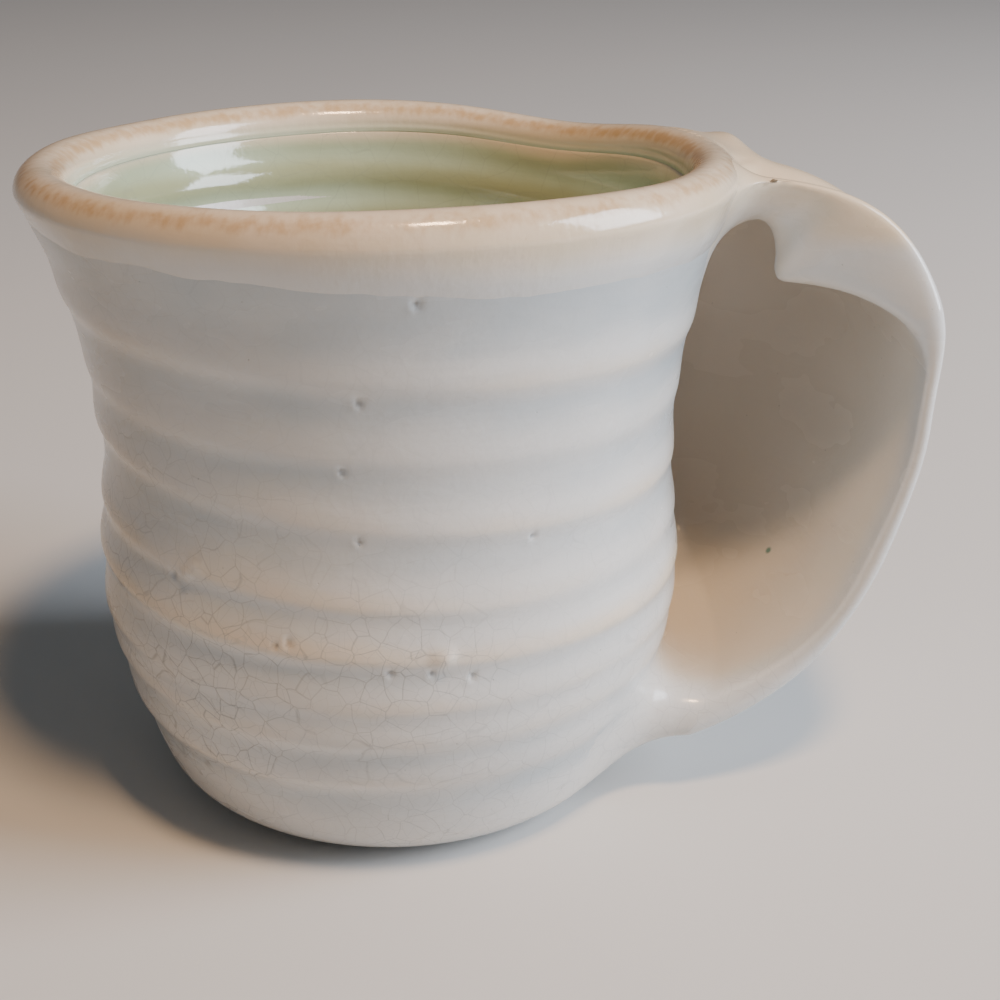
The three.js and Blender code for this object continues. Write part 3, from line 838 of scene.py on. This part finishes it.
def make_liner(cup, colours):
    """The liner glaze, a thin closed shell. Rows run from under the floor's centre up behind the wall,
    over its edge at the rim's coat, down the turned inside and in to the floor. Its inner radius is the
    cup's inner outline, less the ridges of a slow spiral."""
    angles = around(LINER_COLUMNS)
    edge = cup.height - LINER_EDGE
    up = np.linspace(cup.floor + cup.floor_corner, edge, 12)
    back = np.stack([inner_outline(cup, up) + LINER_COAT, up], axis=1)
    down = np.arange(edge, cup.floor + cup.floor_corner, -0.55)
    front = np.stack([inner_outline(cup, down), down], axis=1)
    base = np.array([(r, cup.floor) for r in np.linspace(cup.foot_radius - 8, 1.5, 14)])
    sweep = spread(floor_sweep(cup, 0.0)[::-1], 0.8)
    under = floor_sweep(cup, LINER_COAT)
    profile = np.concatenate([under, back[1:], front, sweep, base[1:]])
    radius = np.repeat(profile[:, :1], len(angles), axis=1)
    height = np.repeat(profile[:, 1:], len(angles), axis=1)
    seen = np.zeros((len(profile), 1))
    seen[len(under) + len(back) - 1 :] = 1
    pitch = 7.5
    spiral = np.sin((height / pitch - angles / TURN) * TURN + 0.8 * waves(angles, height, 31))
    fade = ease(height, 12, 24) * (1 - ease(height, edge - 6, edge))
    radius -= seen * 0.38 * spiral * fade * (1 + 0.4 * waves(angles, height, 33))
    pool = 0.5
    height = height + seen * pool * bell(radius, 0, 9) * (height < cup.floor + 1)
    thick = 0.5 + 0.4 * spiral * fade + 0.5 * (1 - ease(height, 10, 45))
    cream = ease(height + 0.5 * waves(3 * angles, height, 34), edge - 2.4, edge + 0.3)
    rings = revolve(cup, angles, radius, height)
    ends = [(0, 0, cup.floor - LINER_COAT), (0, 0, cup.floor + pool)]
    materials = [shared(celadon_liner_glaze, colours)]
    return surface("Liner_glaze", rings, *ends, materials, thick=thick, cream=cream)


def make_rim(cup, colours):
    """The rim's second coat, a closed saddle. Rows run up from its ragged foot outside, over the lip, down
    to the liner inside, and back underneath. Its skin stands a little out of the cup's, and outside it
    thins to nothing at its foot."""
    angles = around(RIM_COLUMNS)
    foot = band_foot(angles)
    edge = cup.height - RIM_EDGE
    share = np.linspace(0, 1, 20)[:, None] ** 1.3
    top = cup.lip_height - 0.2
    outside = foot + share * (top - foot)
    above = outside - foot
    proud = mix(-0.1, 0.22, np.sqrt(ease(above, -0.4, 2.5)))
    skin = outline(cup, outside) + proud + relief(cup, angles, outside)
    over = lip_arc(cup, 0, 180, -RIM_PROUD)
    thickness = 0.3 * waves(angles, 0, 55)
    lip_r = np.repeat(over[:, :1], len(angles), axis=1)
    lip_z = np.repeat(over[:, 1:], len(angles), axis=1)
    lip_r += thickness * (lip_r < cup.lip_radius) * (lip_r - cup.lip_radius) / cup.bead
    lip_z += 0.25 * waves(2 * angles, 0, 56) * np.clip(lip_z - cup.lip_height, 0, None) / cup.bead
    inside_z = np.repeat(np.linspace(cup.lip_height - 0.3, edge, 8)[:, None], len(angles), axis=1)
    inside_r = inner_outline(cup, inside_z) - RIM_PROUD * ease(inside_z, edge, edge + 1) - thickness
    inside_r = np.where(inside_z < edge + 0.05, inner_outline(cup, inside_z) + 0.1, inside_r)
    under_z = np.repeat(np.linspace(edge, cup.lip_height, 4)[:, None], len(angles), axis=1)
    under_r = inner_outline(cup, under_z) + RIM_COAT
    back = lip_arc(cup, 180, 0, RIM_COAT)
    back_r = np.repeat(back[:, :1], len(angles), axis=1)
    back_z = np.repeat(back[:, 1:], len(angles), axis=1)
    down_z = top + (foot - top) * np.linspace(0.1, 1, 8)[:, None]
    down_r = outline(cup, down_z) - RIM_COAT + relief(cup, angles, down_z)
    radius = np.concatenate([skin, lip_r[1:], inside_r, under_r[1:], back_r[1:], down_r])
    height = np.concatenate([outside, lip_z[1:], inside_z, under_z[1:], back_z[1:], down_z])
    crest = bell(height, cup.height, 1.5)
    front_edge = bell(np.hypot(radius - cup.lip_radius - 2.2, height - cup.height + 1.0), 0, 1.2)
    back_edge = bell(np.hypot(radius - cup.lip_radius + 2.4, height - cup.height + 1.0), 0, 1.3)
    thin = 0.35 * crest + 0.55 * front_edge + 0.75 * back_edge - 0.15
    inward = (radius < cup.lip_radius) & (height < cup.lip_height + 1)
    green = 0.75 * (1 - ease(height, edge - 0.2, edge + 2.6)) * inward
    fade = (1 - ease(height - foot, 0.5, 6)) * (radius > cup.lip_radius)
    rings = revolve(cup, angles, radius, height)
    materials = [shared(cream_rim_glaze, colours)]
    return surface("Rim_glaze", rings, None, None, materials, thin=thin, green=green, fade=fade)


# ---- The pocket's form ----

def mouth_radius(pocket, angle, inset):
    """Distance from the pocket's axis to its outline, moved inwards: a superellipse in polar form."""
    width = np.where(np.cos(angle) > 0, pocket.width, pocket.hidden_width) - inset
    upper = np.sin(angle) > 0
    tall = np.where(upper, pocket.upper, pocket.lower) - inset
    power = np.where(upper, pocket.upper_roundness, pocket.lower_roundness)
    return (np.abs(np.cos(angle) / width) ** power + np.abs(np.sin(angle) / tall) ** power) ** (-1 / power)


def bowl(pocket, angle, inset, share, depth):
    """A point of the half bowl: the outline shrunk by share, at a depth behind the mouth, with the upper
    side's bulge and the dip behind the hood's ridge."""
    degrees = np.degrees(turn_gap(angle, 0))
    bulge = pocket.shoulder * bell(degrees, 16, 9) - pocket.flat * bell(degrees, -21, 20)
    groove = pocket.hood_groove * ease(degrees, 15, 52) + 0.8 * ease(-degrees, 60, 100)
    dip = groove * bell(depth, 7, 4.5) * (1 - ease(inset, 0, 3.5))
    hump = pocket.back_hump * ease(degrees, 51, 61) * bell(depth, 27, 10)
    back = hump - 1.8 * bell(degrees, 36, 13) * bell(depth, 25, 12)
    radius = mouth_radius(pocket, angle, inset) * share + (bulge - dip + back) * ease(share, 0.3, 0.9)
    height = pocket.centre_height + radius * np.sin(angle)
    way = (height - pocket.foot_rise) / (pocket.top - pocket.foot_rise)
    mouth = mix(pocket.mouth_bottom_y, pocket.mouth_top_y, way)
    return np.stack([pocket.centre_x + radius * np.cos(angle), mouth + depth, height], axis=-1)


def behind_lip(pocket, lip, depth):
    """How far the inner wall stands in from the outer: the lip's thickness at the mouth, thinning to the
    wall's as a Gaussian of the depth."""
    return pocket.wall + (lip - pocket.wall) * bell(depth, 0, 8)


def bowl_rows(pocket, angle, count, deep, lip=None, start=0.0):
    """A wall's rows from the back's middle to the mouth, where they start at a depth: a superellipse
    quarter in polar form. It is the inner wall where a lip is given, and otherwise the outer."""
    quarter = np.linspace(np.pi / 2, 0, count + 1)[1:, None]
    power = pocket.depth_roundness
    reach = (np.abs(np.cos(quarter)) ** power + np.abs(np.sin(quarter)) ** power) ** (-1 / power)
    share = reach * np.cos(quarter)
    depth = deep * reach * np.sin(quarter)
    share, depth = np.broadcast_arrays(share, depth + 0 * angle)
    inset = 0 * depth if lip is None else behind_lip(pocket, lip, depth)
    return bowl(pocket, angle, inset, share, mix(start, deep, depth / deep)), depth


def normals(rings):
    """Outward normals of a grid that closes across: the cross product of its two differences."""
    across = np.roll(rings, -1, axis=1) - np.roll(rings, 1, axis=1)
    down = np.gradient(rings, axis=0)
    out = np.cross(across, down)
    return out / np.maximum(np.linalg.norm(out, axis=-1, keepdims=True), 1e-9)


def off_cup(cup, points):
    """Each point's distance from the cup's skin, and the way out of it. Above the lip's centre the skin is
    the round lip, and the cup's open inside counts as within."""
    x, y, z = np.moveaxis(points, -1, 0)
    angle, radius = np.arctan2(y, x), np.hypot(x, y)
    skin = outline(cup, z) + relief(cup, angle, z)
    slope = (outline(cup, z + 0.5) - outline(cup, z - 0.5)) * ease(z, 0.5, 1)
    out = np.stack([np.ones_like(slope), -slope], axis=-1)
    away = (radius - skin) / np.hypot(1, slope)
    side, rise = np.clip(radius - cup.lip_radius, 0, None), z - cup.lip_height
    bead_away = np.hypot(side, rise) - cup.bead - np.clip(cup.lip_radius - radius, 0, None)
    bead_out = np.stack([side + 1e-6, np.where(side > 0, rise, 0)], axis=-1)
    high = rise > 0
    away = np.where(high, bead_away, away)
    out = np.where(high[..., None], bead_out, out)
    out = out / np.linalg.norm(out, axis=-1, keepdims=True)
    return away, np.stack([out[..., 0] * np.cos(angle), out[..., 0] * np.sin(angle), out[..., 1]], axis=-1)


# Inside the clay, a worked-in point is held within this share of the seam's reach.
HELD = 0.35


def work_into_cup(cup, points, reach, deepest):
    """Sweeps the pocket's wall out along the cup near the seam, as the worked coil does.

    A point nearer the cup than the reach k, at distance b, moves along the cup by (k - b)^2 / k, and its
    distance becomes b^2 / k, so the wall leaves its own line gently and lands flat on the cup. Inside
    the cup it sinks to the deepest it may and stays in the clay. Over the cup's open mouth it isn't
    moved along, and is kept under the lip.
    """
    out = normals(points)
    radius, height = np.hypot(points[..., 0], points[..., 1]), points[..., 2]
    over_mouth = (1 - ease(radius, cup.lip_radius - 2, cup.lip_radius + 1.5)) * ease(height, 83.5, 86.5)
    sunk = mix(height, np.minimum(height, cup.lip_height - 1), over_mouth)
    points = np.concatenate([points[..., :2], sunk[..., None]], axis=-1)
    roof = ease(out[..., 2], 0.2, 0.8) * ease(height, 76, 84)
    roof_reach = 4.6
    reach = mix(reach, np.minimum(reach, roof_reach), roof)
    away, up = off_cup(cup, points)
    along = out - np.sum(out * up, axis=-1, keepdims=True) * up
    size = np.linalg.norm(along, axis=-1, keepdims=True)
    along = along / np.maximum(size, 0.05)
    held = np.clip(away, -HELD * reach, reach)
    move = (reach - held) ** 2 / reach * ease(away, -5 - HELD * reach, -HELD * reach)
    move = move * (1 - over_mouth)
    target = np.where(away < reach, np.sign(held) * held**2 / reach, away)
    below = np.clip(-HELD * reach - away, 0, None)
    target = np.maximum(target - 0.5 * below, -deepest) * (away < reach) + target * (away >= reach)
    moved = points + move[..., None] * along
    for _ in range(4):
        now, up = off_cup(cup, moved)
        moved = moved + np.where(away < reach, target - now, 0)[..., None] * up
    return keep_in_clay(cup, moved)


def keep_in_clay(cup, points):
    """Keeps the buried part of the pocket's skin above the foot, and under the round of the lip."""
    x, y, z = np.moveaxis(points, -1, 0)
    radius = np.hypot(x, y)
    kept = np.where(z > cup.lip_height - 3, np.maximum(radius, cup.lip_radius - 1.5), radius)
    side = np.clip(cup.lip_radius - kept, 0, cup.bead)
    ceiling = cup.lip_height + np.sqrt(cup.bead**2 - side**2) - 0.3
    z = np.where(kept < cup.lip_radius, np.minimum(z, ceiling), z)
    return np.stack([x * kept / radius, y * kept / radius, np.maximum(z, 0.8)], axis=-1)


def make_pocket(cup, pocket, colours):
    """The hand pocket, a closed half bowl. Rows run from the back's middle over the outer wall to the
    mouth, round its lip and back over the inner wall. The wall is thick over the fingers, thin at the
    side, and swept into the cup along the seam."""
    angle = around(POCKET_COLUMNS, radians(10), gain=1.2, width=radians(110))
    degrees = np.degrees(turn_gap(angle, 0))
    hood = ease(degrees, 8, 42)
    lip = mix(pocket.side_lip, pocket.hood_lip, hood) - 0.56 * pocket.hood_lip * ease(degrees, 37, 51)
    lip = lip + (pocket.foot_lip - pocket.side_lip) * ease(-degrees, 35, 80)

    scoop = hood * pocket.hood_scoop
    outer, outer_depth = bowl_rows(pocket, angle, 84, pocket.depth)
    inner, inner_depth = bowl_rows(pocket, angle, 78, pocket.depth - pocket.wall, lip, scoop)
    half_turn = np.linspace(0, np.pi, 20)[1:-1, None]
    inset_lip = lip * (0.5 - 0.5 * np.cos(half_turn)) ** (1 + 0.8 * hood)
    forward = np.minimum(lip * 0.55, 3.0) * np.sin(half_turn) ** 0.9
    forward = forward - scoop * (inset_lip / lip) ** 0.9
    edge = bowl(pocket, angle, inset_lip, np.ones_like(forward), -forward)

    rings = np.concatenate([outer, edge, inner[::-1]])
    within = np.concatenate([0 * outer_depth, inset_lip / lip, 0 * inner_depth + 1])
    height = rings[..., 2]
    deeper = pocket.seam + 2 + 0.5 * ease(height, 62, 76)
    reach = mix(pocket.seam + 1.5, deeper, ease(within, 0.2, 0.9))
    moved = work_into_cup(cup, rings, reach, mix(2.5, 1.0, within))
    moved = moved + 0.15 * normals(moved) * waves(3 * angle, moved[..., 2], 61)[..., None]

    depth = np.concatenate([0 * outer_depth, -forward, inner_depth[::-1]])
    # The hollow's share lays on the painted warm bounce light and takes the crackle away.
    hollow = ease(within, 0.7, 1.0) * ease(depth, 0, 5)
    place = np.arctan2(moved[..., 1], moved[..., 0])
    cream = ease(moved[..., 2] - band_foot(place) + 1.2, -1.5, 2.0) * (1 - within)
    rings = set_out_of_true(cup, moved)
    ends = [rings[0].mean(axis=0), rings[-1].mean(axis=0)]
    materials = [shared(white_crackle_glaze, colours)]
    return surface("Hand_pocket", rings, *ends, materials, hollow=hollow, cream=cream)


# ---- The studio ----

# Where the two lights stand, how large they are, and the point that both face, in metres.
WINDOW_PLACE, WINDOW_SIZE = (0.8, -0.15, 0.42), (0.45, 0.6)
LAMP_PLACE, LAMP_SIZE = (0.14, -0.25, 0.78), (0.11, 0.11)
MUG_MIDDLE = (0, 0, 0.05)


def area_light(name, place, size, power, tint):
    """A soft rectangular light that faces the middle of the mug."""
    data = bpy.data.lights.new(name, "AREA")
    data.shape = "RECTANGLE"
    data.size, data.size_y = size
    data.energy = power
    data.color = tint[:3]
    lamp = bpy.data.objects.new(name, data)
    lamp.location = place
    lamp.rotation_euler = (Vector(MUG_MIDDLE) - Vector(place)).to_track_quat("-Z", "Y").to_euler()
    bpy.context.scene.collection.objects.link(lamp)


def make_stage(studio):
    """A round pale floor under the mug, an even pale sky, and two soft lights. The floor is a fan of
    triangles from its centre to a circle."""
    corners = 96
    angles = around(corners)
    circle = studio.floor_radius * MM * np.stack([np.cos(angles), np.sin(angles), 0 * angles], axis=-1)
    ring = np.arange(corners) + 1
    fan = np.stack([0 * ring, ring, np.roll(ring, -1)], axis=-1)
    mesh = bpy.data.meshes.new("Floor")
    mesh.from_pydata([(0, 0, 0), *circle.tolist()], [], fan.tolist())
    mesh.materials.append(shared(pale_floor, studio))
    floor = bpy.data.objects.new("Floor", mesh)
    bpy.context.scene.collection.objects.link(floor)

    world = bpy.data.worlds.new("Studio")
    world.use_nodes = True
    sky = world.node_tree.nodes["Background"]
    sky.inputs["Color"].default_value = studio.sky
    sky.inputs["Strength"].default_value = studio.sky_strength
    bpy.context.scene.world = world
    area_light("Window", WINDOW_PLACE, WINDOW_SIZE, studio.window_power, studio.window)
    area_light("Lamp", LAMP_PLACE, LAMP_SIZE, studio.lamp_power, studio.lamp)


def make_camera(studio):
    """The camera: it looks along +Y, turned by its heading, pitch and roll."""
    data = bpy.data.cameras.new("Camera")
    data.sensor_width = 36
    data.lens = studio.lens
    camera = bpy.data.objects.new("Camera", data)
    aim = Matrix.Rotation(-studio.heading, 4, "Z") @ Matrix.Rotation(np.pi / 2 - studio.pitch, 4, "X")
    place = Matrix.Translation((0, studio.camera_y * MM, studio.camera_height * MM))
    camera.matrix_world = place @ aim @ Matrix.Rotation(studio.roll, 4, "Z")
    data.clip_start, data.clip_end = 0.01, 50
    bpy.context.scene.collection.objects.link(camera)
    bpy.context.scene.camera = camera


# ---- The add-on ----

class MUG_OT_stage(bpy.types.Operator):
    """Make the floor, the lights and the camera"""

    bl_idname = "mug.stage"
    bl_label = "Stage"

    def execute(self, context):
        studio = millimetres(context.scene.mug_studio)
        make_stage(studio)
        make_camera(studio)
        return {"FINISHED"}


class MUG_OT_cup(bpy.types.Operator):
    """Make the thrown cup in its white glaze"""

    bl_idname = "mug.cup"
    bl_label = "Cup"

    def execute(self, context):
        piece = make_cup(cup_sizes(context), context.scene.mug_colours)
        stand_for(piece, "white_glaze", "cup_body")
        return {"FINISHED"}


class MUG_OT_liner(bpy.types.Operator):
    """Make the green liner glaze"""

    bl_idname = "mug.liner"
    bl_label = "Liner glaze"

    def execute(self, context):
        piece = make_liner(cup_sizes(context), context.scene.mug_colours)
        stand_for(piece, "celadon_glaze", "liner_glaze")
        return {"FINISHED"}


class MUG_OT_rim(bpy.types.Operator):
    """Make the cream second dip over the rim"""

    bl_idname = "mug.rim"
    bl_label = "Rim glaze"

    def execute(self, context):
        piece = make_rim(cup_sizes(context), context.scene.mug_colours)
        stand_for(piece, "cream_glaze", "rim_glaze")
        return {"FINISHED"}


class MUG_OT_pocket(bpy.types.Operator):
    """Make the hand pocket, worked into the cup's side"""

    bl_idname = "mug.pocket"
    bl_label = "Hand pocket"

    def execute(self, context):
        cup = cup_sizes(context)
        piece = make_pocket(cup, pocket_sizes(context, cup), context.scene.mug_colours)
        nodes = ["hand_pocket", "upper_join_coil", "rear_join_coil", "lower_join_coil"]
        stand_for(piece, "white_glaze", *nodes)
        return {"FINISHED"}


class MUG_PT_panel(bpy.types.Panel):
    """The mug's sizes, colours and pieces"""

    bl_idname = "MUG_PT_panel"
    bl_label = "Hand-warmer mug"
    bl_space_type = "VIEW_3D"
    bl_region_type = "UI"
    bl_category = "Mug"

    def draw(self, context):
        for name in GROUPS:
            group = getattr(context.scene, name)
            box = self.layout.box()
            box.label(text=name.removeprefix("mug_").title())
            for item in settings_of(group):
                box.prop(group, item.identifier)
        for operator in OPERATORS:
            self.layout.operator(operator.bl_idname)


GROUPS = {
    "mug_cup": CupSizes,
    "mug_pocket": PocketSizes,
    "mug_colours": GlazeColours,
    "mug_studio": StudioSettings,
}
OPERATORS = [MUG_OT_stage, MUG_OT_cup, MUG_OT_liner, MUG_OT_rim, MUG_OT_pocket]


def register():
    """Registers the classes, and gives the scene its groups of settings."""
    for item in [*GROUPS.values(), *OPERATORS, MUG_PT_panel]:
        bpy.utils.register_class(item)
    for name, group in GROUPS.items():
        setattr(bpy.types.Scene, name, bpy.props.PointerProperty(type=group))


def unregister():
    """Takes the groups of settings and the classes away again."""
    for name in GROUPS:
        delattr(bpy.types.Scene, name)
    for item in reversed([*GROUPS.values(), *OPERATORS, MUG_PT_panel]):
        bpy.utils.unregister_class(item)


def main():
    """Makes the stage and every piece in order."""
    register()
    for operator in OPERATORS:
        group, name = operator.bl_idname.split(".")
        getattr(getattr(bpy.ops, group), name)()


if __name__ == "__main__":
    main()
